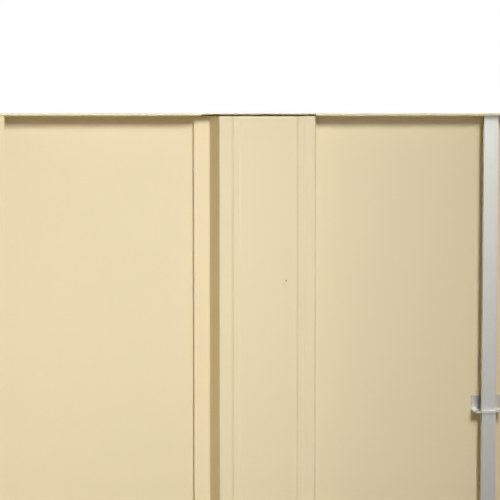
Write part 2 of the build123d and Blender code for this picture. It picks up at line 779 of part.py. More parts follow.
def rod_guides():
    """Two guides on each rod: one near the cam and one towards its end."""
    upper = (LOCK_HEIGHT + GUIDE_CAM_DISTANCE, DOOR_TOP - GUIDE_END_DISTANCE)
    lower = (LOCK_HEIGHT - GUIDE_CAM_DISTANCE, DOOR_BOTTOM + GUIDE_END_DISTANCE)
    return [rod_guide(LEFT, z) for z in upper] + [rod_guide(RIGHT, z) for z in lower]


def assembly():
    """Every node's name with its solids, doors open at rest."""
    nodes = {
        "right_side_panel": side_panel(),
        "left_side_panel": mirrored(side_panel()),
        "back_panel": back_panel(),
        "top_panel": top_panel(),
        "base_pan": base_pan(),
        "shelf_clips": shelf_clips(),
        "door_bumpers": door_bumpers(),
        "foot_gussets": [foot_gusset(*place) for place in CORNERS.values()],
        "base_channel": base_channel(),
    }
    for depth, y in POST_PLACES.items():
        nodes[f"{depth}_right_post"] = shelf_post(y)
        nodes[f"{depth}_left_post"] = mirrored(shelf_post(y))
    for number, seat in enumerate(shelf_seats(), start=1):
        nodes[f"shelf_{number}"] = shelf(seat)
    for corner, place in FOOT_PLACES.items():
        nodes[f"foot_{corner}"] = foot(*place)

    fixed_leaves = [frame_leaf(z) for z in HINGE_HEIGHTS]
    nodes["right_frame_leaves"] = fixed_leaves
    nodes["left_frame_leaves"] = [mirrored(leaf) for leaf in fixed_leaves]

    stiffener, moving_leaves = swung(door_stiffener()), [swung(door_leaf(z)) for z in HINGE_HEIGHTS]
    nodes["right_door_skin"] = swung(door_skin(with_lock=True))
    nodes["right_door_stiffener"] = stiffener
    nodes["right_door_leaves"] = moving_leaves
    nodes["left_door_skin"] = mirrored(swung(door_skin(with_lock=False)))
    nodes["left_door_stiffener"] = mirrored(stiffener)
    nodes["left_door_leaves"] = [mirrored(leaf) for leaf in moving_leaves]
    nodes["left_door_strike"] = mirrored(swung(door_strike()))

    nodes["handle_escutcheon"] = swung(escutcheon())
    nodes["spindle_bracket"] = swung(spindle_bracket())
    nodes["rod_guides"] = [swung(guide) for guide in rod_guides()]
    nodes["door_handle"] = swung(door_handle())
    nodes["lock_spindle"] = swung(lock_spindle())
    nodes["lock_cam"] = swung(lock_cam())
    nodes["latch_tongue"] = swung(latch_tongue())
    nodes["lock_plug"] = swung(lock_plug())
    nodes["upper_lock_rod"] = swung(lock_rod(LEFT))
    nodes["lower_lock_rod"] = swung(lock_rod(RIGHT))
    return nodes


os.makedirs("parts", exist_ok=True)
for name, shape in assembly().items():
    pieces = shape if isinstance(shape, list) else [shape]
    solids = [solid for piece in pieces for solid in piece.solids()]
    export_step(Compound(solids), f"parts/{name}.step")
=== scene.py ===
"""Looks of the two-door steel cabinet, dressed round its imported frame."""

from __future__ import annotations

import json
import logging
import math
from collections.abc import Callable, Iterable, Sequence
from dataclasses import dataclass, field
from enum import Enum

import bmesh
import bpy
from mathutils import Matrix, Vector

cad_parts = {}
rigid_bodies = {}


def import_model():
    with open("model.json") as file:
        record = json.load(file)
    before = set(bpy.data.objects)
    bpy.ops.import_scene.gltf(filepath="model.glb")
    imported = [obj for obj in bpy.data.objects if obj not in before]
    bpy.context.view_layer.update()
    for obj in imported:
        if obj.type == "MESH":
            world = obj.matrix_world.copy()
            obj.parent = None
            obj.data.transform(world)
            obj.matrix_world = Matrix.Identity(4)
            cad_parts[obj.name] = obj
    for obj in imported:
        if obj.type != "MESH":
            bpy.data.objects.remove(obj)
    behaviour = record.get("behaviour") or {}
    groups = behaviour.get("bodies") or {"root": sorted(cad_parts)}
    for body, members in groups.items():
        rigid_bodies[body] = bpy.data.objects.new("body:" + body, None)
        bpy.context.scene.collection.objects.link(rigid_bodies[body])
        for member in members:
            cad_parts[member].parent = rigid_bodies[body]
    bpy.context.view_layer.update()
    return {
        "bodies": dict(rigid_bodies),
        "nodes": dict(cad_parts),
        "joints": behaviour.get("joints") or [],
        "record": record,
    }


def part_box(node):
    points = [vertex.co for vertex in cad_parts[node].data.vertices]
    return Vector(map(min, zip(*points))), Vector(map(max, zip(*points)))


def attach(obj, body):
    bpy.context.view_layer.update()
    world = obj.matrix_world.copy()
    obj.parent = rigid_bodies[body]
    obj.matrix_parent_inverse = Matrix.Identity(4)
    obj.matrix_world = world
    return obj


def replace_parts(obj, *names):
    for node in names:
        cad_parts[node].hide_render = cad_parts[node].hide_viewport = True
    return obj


log = logging.getLogger("cabinet")

Colour = tuple[float, float, float, float]
Test = Callable[[Vector], bool]

MM = 0.001
SHEET = 0.9 * MM
TOUCH = 0.1 * MM
NEAR = 1.0 * MM
CUT_MERGE = 1e-7
SMOOTH_ANGLE = math.radians(32)
BEND_ANGLE = math.radians(5)
QUARTER_TURN = math.radians(90)
WHITE: Colour = (1, 1, 1, 1)


class Side(Enum):
    """The two sides of the cabinet, seen from the front, by the sign of X."""

    RIGHT = 1
    LEFT = -1

    @property
    def word(self) -> str:
        """The side's word in the names of bodies and nodes."""
        return self.name.lower()


class Slot(Enum):
    """The record's material slots."""

    ENAMEL = "putty_enamel"
    ZINC = "zinc_steel"
    CHROME = "chrome_plate"
    NICKEL = "nickel_brass"
    RUBBER = "black_rubber"


# Shader nodes


class Board:
    """A node tree, with one method by which every node is put on it."""

    def __init__(self, tree: bpy.types.NodeTree) -> None:
        """Clears the tree.

        Args:
            tree: the node tree of a material or the world.
        """
        self.tree = tree
        tree.nodes.clear()

    def node(
        self,
        kind: str,
        settings: dict[str, object] | None = None,
        inputs: dict[str | int, object] | None = None,
    ) -> bpy.types.Node:
        """Adds a node.

        Args:
            kind: the node's type.
            settings: the node's own properties, set before its sockets.
            inputs: values or links of its sockets, by name or index.

        Returns:
            The new node.
        """
        node = self.tree.nodes.new(kind)
        for name, value in (settings or {}).items():
            setattr(node, name, value)
        for key, value in (inputs or {}).items():
            source = value.socket if isinstance(value, Term) else value
            if isinstance(source, bpy.types.NodeSocket):
                self.tree.links.new(source, node.inputs[key])
            else:
                node.inputs[key].default_value = source
        return node

    def shader(self, kind: str, inputs: dict[str | int, object]) -> bpy.types.NodeSocket:
        """Adds a shader node and gives its shader."""
        return self.node(kind, None, inputs).outputs[0]

    def term(self, node: bpy.types.Node, output: str | int = 0) -> Term:
        """One of a node's outputs, ready for maths."""
        return Term(self, node.outputs[output])

    def place(self) -> bpy.types.NodeSocket:
        """The surface's place in the object's own coordinates."""
        return self.node("ShaderNodeTexCoord").outputs["Object"]

    def noise(self, place: object, scale: float, detail: float = 2.0) -> Term:
        """Smooth noise.

        Args:
            place: the coordinates.
            scale: features per metre.
            detail: octaves of finer noise.

        Returns:
            The noise, from 0 to 1.
        """
        inputs = {"Vector": place, "Scale": scale, "Detail": detail}
        return self.term(self.node("ShaderNodeTexNoise", None, inputs), "Fac")

    def blend(self, factor: Term | float, first: object, second: object) -> bpy.types.NodeSocket:
        """Colour between two colours.

        Args:
            factor: 0 for the first, 1 for the second.
            first: a colour or a colour socket.
            second: a colour or a colour socket.

        Returns:
            The mixed colour's socket.
        """
        # By number, because the node's sockets for numbers and vectors have the same names.
        inputs = {0: factor, 6: first, 7: second}
        return self.node("ShaderNodeMix", {"data_type": "RGBA"}, inputs).outputs[2]


class Term:
    """A shader value: Python's operators on it add Math nodes."""

    def __init__(self, board: Board, socket: bpy.types.NodeSocket) -> None:
        """Wraps a socket.

        Args:
            board: the nodes that the socket belongs to.
            socket: an output.
        """
        self.board = board
        self.socket = socket

    def _math(self, operation: str, first: Term | float, second: Term | float, clamp: bool = False) -> Term:
        """Adds a Math node.

        Args:
            operation: what it works out.
            first: its first operand.
            second: its second operand.
            clamp: whether the result is kept between 0 and 1.

        Returns:
            The node's result.
        """
        settings = {"operation": operation, "use_clamp": clamp}
        return self.board.term(self.board.node("ShaderNodeMath", settings, {0: first, 1: second}))

    def __add__(self, other: Term | float) -> Term:
        """Sum."""
        return self._math("ADD", self, other)

    __radd__ = __add__

    def __sub__(self, other: Term | float) -> Term:
        """Difference."""
        return self._math("SUBTRACT", self, other)

    def __rsub__(self, other: Term | float) -> Term:
        """Difference from a number."""
        return self._math("SUBTRACT", other, self)

    def __mul__(self, other: Term | float) -> Term:
        """Product."""
        return self._math("MULTIPLY", self, other)

    __rmul__ = __mul__

    def clamped(self) -> Term:
        """The value kept between 0 and 1."""
        return self._math("ADD", self, 0.0, clamp=True)

    def ramp(self, low: float, high: float) -> Term:
        """Smooth step.

        Args:
            low: the value that gives 0.
            high: the value that gives 1.

        Returns:
            The step, from 0 to 1.
        """
        settings = {"interpolation_type": "SMOOTHSTEP"}
        inputs = {"Value": self, "From Min": low, "From Max": high}
        return self.board.term(self.board.node("ShaderNodeMapRange", settings, inputs))


# Finishes


class Finish:
    """A material under a name, with the shader that its subclass puts together."""

    name: str

    def material(self) -> bpy.types.Material:
        """Makes the material.

        Returns:
            A material with a Principled shader.
        """
        material = bpy.data.materials.new(self.name)
        material.use_nodes = True
        board = Board(material.node_tree)
        surface = board.shader("ShaderNodeBsdfPrincipled", self.sockets(board))
        board.node("ShaderNodeOutputMaterial", None, {"Surface": surface})
        return material

    def sockets(self, board: Board) -> dict[str | int, object]:
        """The Principled shader's sockets. Each finish gives its own."""
        raise NotImplementedError

    @staticmethod
    def grain(board: Board, height: Term, strength: float, distance: float) -> bpy.types.NodeSocket:
        """A normal that follows a fine relief.

        Args:
            board: the material's nodes.
            height: the relief, from 0 to 1.
            strength: how much of it shows.
            distance: how high 1 stands.

        Returns:
            The normal's socket.
        """
        inputs = {"Strength": strength, "Distance": distance, "Height": height}
        return board.node("ShaderNodeBump", None, inputs).outputs[0]


@dataclass(frozen=True)
class PaintChip:
    """A speck where the paint on a stiffener's crown is broken, with crumbs in a patch beside it."""

    door: DoorPlace
    crown: float = 21.65 * MM
    speck_u: float = 231.8 * MM
    speck_below_lip: float = 130.5 * MM
    speck_radius: float = 0.85 * MM
    speck_depth: float = 0.3
    patch_u: float = 230.2 * MM
    patch_below_lip: float = 133.6 * MM
    patch_radius: float = 2.4 * MM
    colour: Colour = (0.42, 0.34, 0.19, 1)
    edge_scale: float = 1400.0
    edge_reach: float = 1.7
    crumb_scale: float = 900.0
    crumb_edge: tuple[float, float] = (0.5, 0.62)
    crumb_shade: float = 0.4
    crumb_height: float = 0.5

    def mask(self, board: Board, place: bpy.types.NodeSocket, middle: Vector, radius: float) -> Term:
        """A round, ragged spot.

        Args:
            board: the material's nodes.
            place: the surface's coordinates.
            middle: the spot's middle.
            radius: the spot's radius.

        Returns:
            1 in the spot and 0 outside it.
        """
        inputs = {0: place, 1: middle}
        apart = board.node("ShaderNodeVectorMath", {"operation": "DISTANCE"}, inputs)
        ragged = board.noise(place, self.edge_scale) * radius + board.term(apart, "Value")
        return 1 - ragged.ramp(radius, self.edge_reach * radius)

    def speck(self, board: Board, place: bpy.types.NodeSocket) -> Term:
        """Where the paint is broken."""
        middle = self.door.point(self.speck_u, self.crown, self.door.top - self.speck_below_lip)
        return self.mask(board, place, middle, self.speck_radius)

    def crumbs(self, board: Board, place: bpy.types.NodeSocket) -> Term:
        """Where the patch has crumbs.

        Args:
            board: the material's nodes.
            place: the surface's coordinates.

        Returns:
            1 on a crumb and 0 off it.
        """
        grains = board.noise(place, self.crumb_scale).ramp(*self.crumb_edge)
        middle = self.door.point(self.patch_u, self.crown, self.door.top - self.patch_below_lip)
        return self.mask(board, place, middle, self.patch_radius) * grains


@dataclass(frozen=True)
class PuttyEnamel(Finish):
    """Stoved semi-gloss enamel: faintly mottled, with the skin of sprayed paint."""

    name: str = Slot.ENAMEL.value
    pale: Colour = (0.822, 0.715, 0.484, 1)
    deep: Colour = (0.792, 0.687, 0.461, 1)
    roughness: float = 0.36
    shine: float = 0.25
    chip: PaintChip | None = None
    cloud_scale: float = 3.0
    cloud_detail: float = 3.0
    skin_scale: float = 650.0
    skin_height: float = 0.02
    wave_scale: float = 14.0
    wave_detail: float = 1.0
    wave_height: float = 0.6
    grain_strength: float = 0.5
    grain_height: float = 0.4 * MM
    gloss_scale: float = 9.0
    gloss_detail: float = 4.0
    gloss_range: float = 0.1

    def sockets(self, board: Board) -> dict[str | int, object]:
        """Mottled colour, uneven gloss and a fine skin.

        Args:
            board: the material's nodes.

        Returns:
            Values or links of the Principled shader's sockets.
        """
        place = board.place()
        clouds = board.noise(place, self.cloud_scale, self.cloud_detail)
        colour = board.blend(clouds, self.pale, self.deep)
        skin = board.noise(place, self.skin_scale)
        waves = board.noise(place, self.wave_scale, self.wave_detail)
        height = skin * self.skin_height + waves * self.wave_height
        if self.chip:
            speck = self.chip.speck(board, place)
            crumbs = self.chip.crumbs(board, place)
            colour = board.blend(crumbs * self.chip.crumb_shade, colour, self.chip.colour)
            colour = board.blend(speck, colour, self.chip.colour)
            height = height + crumbs * self.chip.crumb_height - speck * self.chip.speck_depth
        gloss = board.noise(place, self.gloss_scale, self.gloss_detail) * self.gloss_range
        return {
            "Base Color": colour,
            "Roughness": gloss + (self.roughness - self.gloss_range / 2),
            "Specular IOR Level": self.shine,
            "Normal": self.grain(board, height, self.grain_strength, self.grain_height),
        }


@dataclass(frozen=True)
class PlatedMetal(Finish):
    """Plated metal: cloudy in colour and gloss, with a fine grain."""

    name: str
    bright: Colour
    dull: Colour
    smooth: float
    rough: float
    cloud_scale: float = 40.0
    cloud_detail: float = 4.0
    grain_scale: float = 900.0
    grain_detail: float = 1.0
    grain_strength: float = 0.15
    grain_height: float = 0.05 * MM

    def sockets(self, board: Board) -> dict[str | int, object]:
        """Clouded plating with a fine grain.

        Args:
            board: the material's nodes.

        Returns:
            Values or links of the Principled shader's sockets.
        """
        place = board.place()
        clouds = board.noise(place, self.cloud_scale, self.cloud_detail)
        pits = board.noise(place, self.grain_scale, self.grain_detail)
        return {
            "Base Color": board.blend(clouds, self.bright, self.dull),
            "Metallic": 1.0,
            "Roughness": clouds * (self.rough - self.smooth) + self.smooth,
            "Normal": self.grain(board, pits, self.grain_strength, self.grain_height),
        }


@dataclass(frozen=True)
class BlackRubber(Finish):
    """Moulded rubber, dusty and matt."""

    name: str = Slot.RUBBER.value
    clean: Colour = (0.022, 0.022, 0.022, 1)
    dusty: Colour = (0.06, 0.057, 0.05, 1)
    dust_scale: float = 120.0
    dust_detail: float = 4.0
    dust_edge: tuple[float, float] = (0.4, 0.8)
    roughness: float = 0.75
    roughness_range: float = 0.15

    def sockets(self, board: Board) -> dict[str | int, object]:
        """Matt black with a film of dust.

        Args:
            board: the material's nodes.

        Returns:
            Values or links of the Principled shader's sockets.
        """
        dust = board.noise(board.place(), self.dust_scale, self.dust_detail)
        return {
            "Base Color": board.blend(dust.ramp(*self.dust_edge), self.clean, self.dusty),
            "Roughness": dust * self.roughness_range + self.roughness,
        }


@dataclass
class Finishes:
    """The cabinet's finishes by slot, each made once."""

    made: dict[Slot, bpy.types.Material] = field(default_factory=dict)

    def build(self) -> Finishes:
        """Makes every slot's material.

        Returns:
            These finishes, made.
        """
        recipes: dict[Slot, Finish] = {
            Slot.ENAMEL: PuttyEnamel(),
            Slot.ZINC: PlatedMetal(
                Slot.ZINC.value,
                bright=(0.68, 0.68, 0.66, 1),
                dull=(0.52, 0.51, 0.46, 1),
                smooth=0.28,
                rough=0.5,
            ),
            Slot.CHROME: PlatedMetal(
                Slot.CHROME.value,
                bright=(0.8, 0.8, 0.81, 1),
                dull=(0.72, 0.72, 0.73, 1),
                smooth=0.06,
                rough=0.2,
            ),
            Slot.NICKEL: PlatedMetal(
                Slot.NICKEL.value,
                bright=(0.7, 0.65, 0.52, 1),
                dull=(0.56, 0.5, 0.36, 1),
                smooth=0.2,
                rough=0.38,
            ),
            Slot.RUBBER: BlackRubber(),
        }
        for slot, recipe in recipes.items():
            self.made[slot] = recipe.material()
        return self

    def __getitem__(self, slot: Slot) -> bpy.types.Material:
        """The material of a slot."""
        return self.made[slot]


# Sheet metal


def verts_of(geom: Iterable[object]) -> list[bmesh.types.BMVert]:
    """The vertices among what an operator made."""
    return [item for item in geom if isinstance(item, bmesh.types.BMVert)]


class Form:
    """A mesh that is drawn out from edges, cut and rounded."""

    def __init__(self) -> None:
        """Starts an empty mesh."""
        self.bm = bmesh.new()

    def draw_out(
        self, edges: Iterable[bmesh.types.BMEdge], offset: Sequence[float]
    ) -> list[bmesh.types.BMEdge]:
        """Draws edges out into faces.

        Args:
            edges: the edges to start from.
            offset: how far the new faces reach.

        Returns:
            The edges at the far side of the new faces.
        """
        made = bmesh.ops.extrude_edge_only(self.bm, edges=list(edges))["geom"]
        far = set(verts_of(made))
        bmesh.ops.translate(self.bm, verts=list(far), vec=offset)
        return [item for item in made if isinstance(item, bmesh.types.BMEdge) and far.issuperset(item.verts)]

    def edges_where(self, test: Test) -> list[bmesh.types.BMEdge]:
        """The edges with both ends at places that pass a test."""
        return [edge for edge in self.bm.edges if all(test(vert.co) for vert in edge.verts)]

    def faces_where(self, test: Test) -> list[bmesh.types.BMFace]:
        """The faces whose middles pass a test."""
        return [face for face in self.bm.faces if test(face.calc_center_median())]

    def cut(self, test: Test, point: Sequence[float], normal: Sequence[float]) -> None:
        """Divides faces along a plane.

        Args:
            test: which faces, by the place of their middles.
            point: a point on the plane.
            normal: the plane's normal.
        """
        faces = self.faces_where(test)
        geom = set(faces)
        for face in faces:
            geom.update(face.edges, face.verts)
        bmesh.ops.bisect_plane(self.bm, geom=list(geom), dist=CUT_MERGE, plane_co=point, plane_no=normal)

    def remove(self, test: Test) -> None:
        """Takes out the faces whose middles pass a test."""
        bmesh.ops.delete(self.bm, geom=self.faces_where(test), context="FACES")

    def round_bends(self, radius: float, segments: int, test: Test) -> None:
        """Rounds the bends.

        Args:
            radius: the outer radius of a square bend.
            segments: faces across a bend.
            test: which bends, by the place of their middles.
        """
        bends = []
        for edge in self.bm.edges:
            middle = (edge.verts[0].co + edge.verts[1].co) / 2
            folded = len(edge.link_faces) == 2 and edge.calc_face_angle(0.0) > BEND_ANGLE
            if folded and test(middle):
                bends.append(edge)
        bmesh.ops.bevel(
            self.bm, geom=bends, offset=radius, offset_type="OFFSET", segments=segments, profile=0.5,
            affect="EDGES", clamp_overlap=True, material=-1,
        )


class FoldedSheet(Form):
    """A sheet drawn out face by face on its outer side, then bent, cut and given its wall."""

    def row(self, points: Iterable[Sequence[float]]) -> list[bmesh.types.BMEdge]:
        """Joins points into the row of edges that a sheet starts from."""
        verts = [self.bm.verts.new(point) for point in points]
        return [self.bm.edges.new(pair) for pair in zip(verts, verts[1:])]

    def thicken(self, outward: Vector) -> None:
        """Gives the sheet its wall, on the inner side.

        Args:
            outward: the outer side's direction on the largest face.
        """
        faces = list(self.bm.faces)
        bmesh.ops.recalc_face_normals(self.bm, faces=faces)
        if max(faces, key=lambda face: face.calc_area()).normal.dot(outward) < 0:
            bmesh.ops.reverse_faces(self.bm, faces=faces)
        bmesh.ops.solidify(self.bm, geom=faces, thickness=SHEET)


class RingForm(Form):
    """A solid drawn out ring by ring along a door's v, from a round face."""

    def __init__(self, centre: Vector, radius: float, count: int) -> None:
        """Starts with the round face.

        Args:
            centre: its middle, through which the axis runs.
            radius: its radius.
            count: corners of every ring.
        """
        super().__init__()
        self.centre = centre
        self.depth = centre.y
        self.radius = radius
        place = Matrix.Translation(centre) @ Matrix.Rotation(QUARTER_TURN, 4, "X")
        bmesh.ops.create_circle(self.bm, cap_ends=True, segments=count, radius=radius, matrix=place)
        self.ring = list(self.bm.edges)

    def corners(self, test: Test = lambda co: True) -> list[bmesh.types.BMVert]:
        """The last ring's corners at places that pass a test."""
        return [vert for vert in {vert for edge in self.ring for vert in edge.verts} if test(vert.co)]

    def scale(self, factor: float, verts: list[bmesh.types.BMVert]) -> None:
        """Scales corners about the axis."""
        bmesh.ops.scale(self.bm, vec=(factor, 1, factor), space=Matrix.Translation(-self.centre), verts=verts)

    def grow(self, depth: float, radius: float | None = None) -> None:
        """Draws the last ring out.

        Args:
            depth: the new ring's v.
            radius: the new ring's radius, if it changes.
        """
        self.ring = self.draw_out(self.ring, (0, depth - self.depth, 0))
        self.depth = depth
        if radius:
            self.scale(radius / self.radius, self.corners())
            self.radius = radius

    def close(self) -> None:
        """Fills the last ring and turns the faces outward."""
        bmesh.ops.contextual_create(self.bm, geom=self.ring)
        bmesh.ops.recalc_face_normals(self.bm, faces=list(self.bm.faces))


def piece_from(
    bm: bmesh.types.BMesh, name: str, place: Matrix, material: bpy.types.Material, body: str
) -> bpy.types.Object:
    """Turns a bmesh into a piece of the cabinet.

    Args:
        bm: the mesh, which is freed.
        name: the piece's name.
        place: from the drawing to its place at rest.
        material: its finish.
        body: the body that it moves with.

    Returns:
        The new object.
    """
    bmesh.ops.transform(bm, matrix=place, verts=bm.verts)
    if place.determinant() < 0:
        bmesh.ops.reverse_faces(bm, faces=bm.faces)
    mesh = bpy.data.meshes.new(name)
    bm.to_mesh(mesh)
    bm.free()
    mesh.shade_smooth()
    mesh.set_sharp_from_angle(angle=SMOOTH_ANGLE)
    mesh.materials.append(material)
    piece = bpy.data.objects.new(name, mesh)
    bpy.context.scene.collection.objects.link(piece)
    flats = piece.modifiers.new("flats", "WEIGHTED_NORMAL")
    flats.keep_sharp = True
    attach(piece, body)
    log.info("%s: %d faces on %s", name, len(mesh.polygons), body)
    return piece


# Doors


def joint_named(frame: dict, name: str) -> dict:
    """The frame's joint of a name."""
    return next(joint for joint in frame["joints"] if joint["name"] == name)


@dataclass(frozen=True)
class DoorPlace:
    """Where a door's drawing goes: u from the hinge axis to the free edge, v into the cabinet, z up."""

    side: Side
    hinge: Vector
    open_angle: float
    bottom: float
    top: float

    @classmethod
    def from_frame(cls, frame: dict, side: Side) -> DoorPlace:
        """Reads the hinge and the door's height from the frame.

        Args:
            side: which door.

        Returns:
            The door's place at rest.
        """
        word = side.word
        joint = joint_named(frame, f"{word}_door_swing")
        low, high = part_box(f"{word}_door_skin")
        hinge = Vector((joint["pos_m"][0], joint["pos_m"][1], 0))
        return cls(side, hinge, math.radians(-joint["range_deg"][0]), low.z, high.z)

    def matrix(self) -> Matrix:
        """Places the door's drawing.

        Returns:
            From the drawing to the door at rest.
        """
        sign = self.side.value
        turn = Matrix.Rotation(sign * self.open_angle, 4, "Z")
        return Matrix.Translation(self.hinge) @ turn @ Matrix.Diagonal((-sign, 1, 1, 1))

    def point(self, u: float, v: float, z: float) -> Vector:
        """A point of the drawing, at rest."""
        return self.matrix() @ Vector((u, v, z))

    def drawn(self, point: Vector) -> Vector:
        """A point at rest, in the drawing."""
        return self.matrix().inverted() @ point


@dataclass(frozen=True)
class DoorPan:
    """The door's sheet: side flanges with returns, and hemmed lips that are notched at the stiffener."""

    place: DoorPlace
    hinge_edge: float = 1.6 * MM
    free_edge: float = 432.1 * MM
    outside: float = 3.55 * MM
    depth: float = 19.0 * MM
    side_return: float = 12.0 * MM
    relief: float = 2.4 * MM
    hem_stack: float = 2.1 * MM
    hem_length: float = 6.0 * MM
    notch_low: float = -52.4 * MM
    notch_high: float = 39.0 * MM
    notch_depth: float = 3.4 * MM
    corner_clear: float = 4.0 * MM
    bend_radius: float = 2.1 * MM
    bend_faces: int = 7
    hem_radius: float = 1.0 * MM
    hem_faces: int = 5
    slot_width: float = 12.8 * MM
    slot_depth: float = 3.8 * MM
    slot_front: float = 7.6 * MM
    slot_from_free_edge: float = 42.0 * MM
    slot_offset: float = 11.95 * MM

    @property
    def inside(self) -> float:
        """The plane of the lips' inner edges."""
        return self.outside + self.depth

    @property
    def middle(self) -> float:
        """The middle of the door's width."""
        return (self.hinge_edge + self.free_edge) / 2

    def build(self, material: bpy.types.Material) -> bpy.types.Object:
        """Makes the pan and lets it stand for its CAD node.

        Args:
            material: the enamel.

        Returns:
            The piece.
        """
        sheet = FoldedSheet()
        low, high = self.place.bottom + self.relief, self.place.top - self.relief
        stations = (
            self.hinge_edge,
            self.hinge_edge + self.relief,
            self.free_edge - self.relief,
            self.free_edge,
        )
        first = sheet.row((u, self.outside, low) for u in stations)
        last = sheet.draw_out(first, (0, 0, high - low))
        for edge, inward in ((self.hinge_edge, 1), (self.free_edge, -1)):
            upright = sheet.edges_where(lambda co: abs(co.x - edge) < TOUCH)
            flange = sheet.draw_out(upright, (0, self.depth, 0))
            sheet.draw_out(flange, (inward * self.side_return, 0, 0))
        self.fold_lip(sheet, first[1], -1)
        self.fold_lip(sheet, self.between(last), 1)
        self.notch_lips(sheet)
        if self.place.side is Side.RIGHT:
            self.slot_lips(sheet)
        sheet.round_bends(self.hem_radius, self.hem_faces, self.in_hem)
        sheet.round_bends(self.bend_radius, self.bend_faces, self.in_bend)
        sheet.thicken(Vector((0, -1, 0)))
        word = self.place.side.word
        name = f"{word}_door_pan"
        piece = piece_from(sheet.bm, name, self.place.matrix(), material, f"{word}_door")
        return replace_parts(piece, f"{word}_door_skin")

    @staticmethod
    def between(edges: list[bmesh.types.BMEdge]) -> bmesh.types.BMEdge:
        """The edge between the corner reliefs."""
        return max(edges, key=lambda edge: edge.calc_length())

    def fold_lip(self, sheet: FoldedSheet, edge: bmesh.types.BMEdge, way: int) -> None:
        """Folds a lip and its hem.

        Args:
            sheet: the pan so far.
            edge: the edge of the face that the lip grows from.
            way: 1 at the top, -1 at the bottom.
        """
        rim = sheet.draw_out([edge], (0, 0, way * self.relief))
        lip = sheet.draw_out(rim, (0, self.depth, 0))
        fold = sheet.draw_out(lip, (0, 0, -way * self.hem_stack))
        sheet.draw_out(fold, (0, -self.hem_length, 0))

    def in_lip(self, co: Vector) -> bool:
        """Whether a place is on a lip or its hem.

        Args:
            co: the place, in the drawing.

        Returns:
            Whether it is well inside the pan's corners and beyond the skin.
        """
        reach = 2 * self.relief
        beyond = co.z > self.place.top - reach or co.z < self.place.bottom + reach
        between = abs(co.x - self.middle) < self.middle - self.corner_clear
        return beyond and between and co.y > self.outside + NEAR

    def in_hem(self, co: Vector) -> bool:
        """Whether a bend is one of a hem's."""
        return self.in_lip(co) and co.y > self.inside - NEAR

    def in_bend(self, co: Vector) -> bool:
        """Whether a bend is one of the pan's own."""
        return not self.in_lip(co)

    def notch_lips(self, sheet: FoldedSheet) -> None:
        """Cuts the hems away over the stiffener and sets the lips' edges back there.

        Args:
            sheet: the pan so far.
        """
        low, high = self.middle + self.notch_low, self.middle + self.notch_high
        for end in (low, high):
            sheet.cut(self.in_lip, (end, 0, 0), (1, 0, 0))
        back = self.inside - self.notch_depth

        def notched(co: Vector) -> bool:
            """Whether a place is on a lip or its hem, between the notch's ends."""
            return self.in_lip(co) and low < co.x < high

        sheet.cut(lambda co: notched(co) and self.on_lip_plane(co), (0, back, 0), (0, 1, 0))
        sheet.remove(lambda co: notched(co) and (co.y > back or not self.on_lip_plane(co)))

    def on_lip_plane(self, co: Vector) -> bool:
        """Whether a place is on a lip itself and not on its hem."""
        return min(abs(co.z - self.place.top), abs(co.z - self.place.bottom)) < TOUCH

    def slot_lips(self, sheet: FoldedSheet) -> None:
        """Opens the lips for the lock rods: the upper one nearer the free edge than the lower.

        Args:
            sheet: the pan so far.
        """
        axis = self.free_edge - self.slot_from_free_edge
        for level, offset in ((self.place.top, self.slot_offset), (self.place.bottom, -self.slot_offset)):
            self.slot_lip(sheet, level, axis + offset)

    def slot_lip(self, sheet: FoldedSheet, level: float, middle: float) -> None:
        """Opens one lip.

        Args:
            sheet: the pan so far.
            level: the lip's height.
            middle: the slot's middle across the door.
        """
        half = self.slot_width / 2
        front = self.outside + self.slot_front
        back = front + self.slot_depth

        def on_lip(co: Vector) -> bool:
            """Whether a place is on this lip."""
            return self.in_lip(co) and abs(co.z - level) < TOUCH

        def across(co: Vector) -> bool:
            """Whether a place is on this lip, between the slot's ends."""
            return on_lip(co) and abs(co.x - middle) < half

        for end in (middle + half, middle - half):
            sheet.cut(on_lip, (end, 0, 0), (1, 0, 0))
        for depth in (front, back):
            sheet.cut(across, (0, depth, 0), (0, 1, 0))
        sheet.remove(lambda co: across(co) and front < co.y < back)


